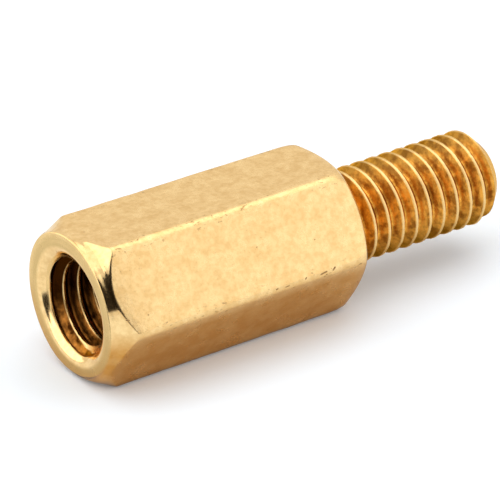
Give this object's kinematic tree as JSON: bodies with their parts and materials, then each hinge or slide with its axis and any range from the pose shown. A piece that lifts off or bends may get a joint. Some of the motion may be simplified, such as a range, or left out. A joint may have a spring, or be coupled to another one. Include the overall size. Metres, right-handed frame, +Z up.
{
  "type": "hex standoff",
  "caption": "Male-female hex standoff: a hexagonal brass spacer with a threaded stud on one end and a threaded blind bore in the other.",
  "frame": {"origin": "on the axis, in the plane of the shoulder that the threaded stud grows out of", "axes": "+X along the axis towards the stud's tip, +Z up, square to the flat that the body lies on"},
  "size_m": [0.0145, 0.0052, 0.0046],
  "materials": {
    "brass": "bright drawn and turned brass, lightly pitted"
  },
  "bodies": {
    "root": {"standoff": "brass"}
  },
  "joints": []
}
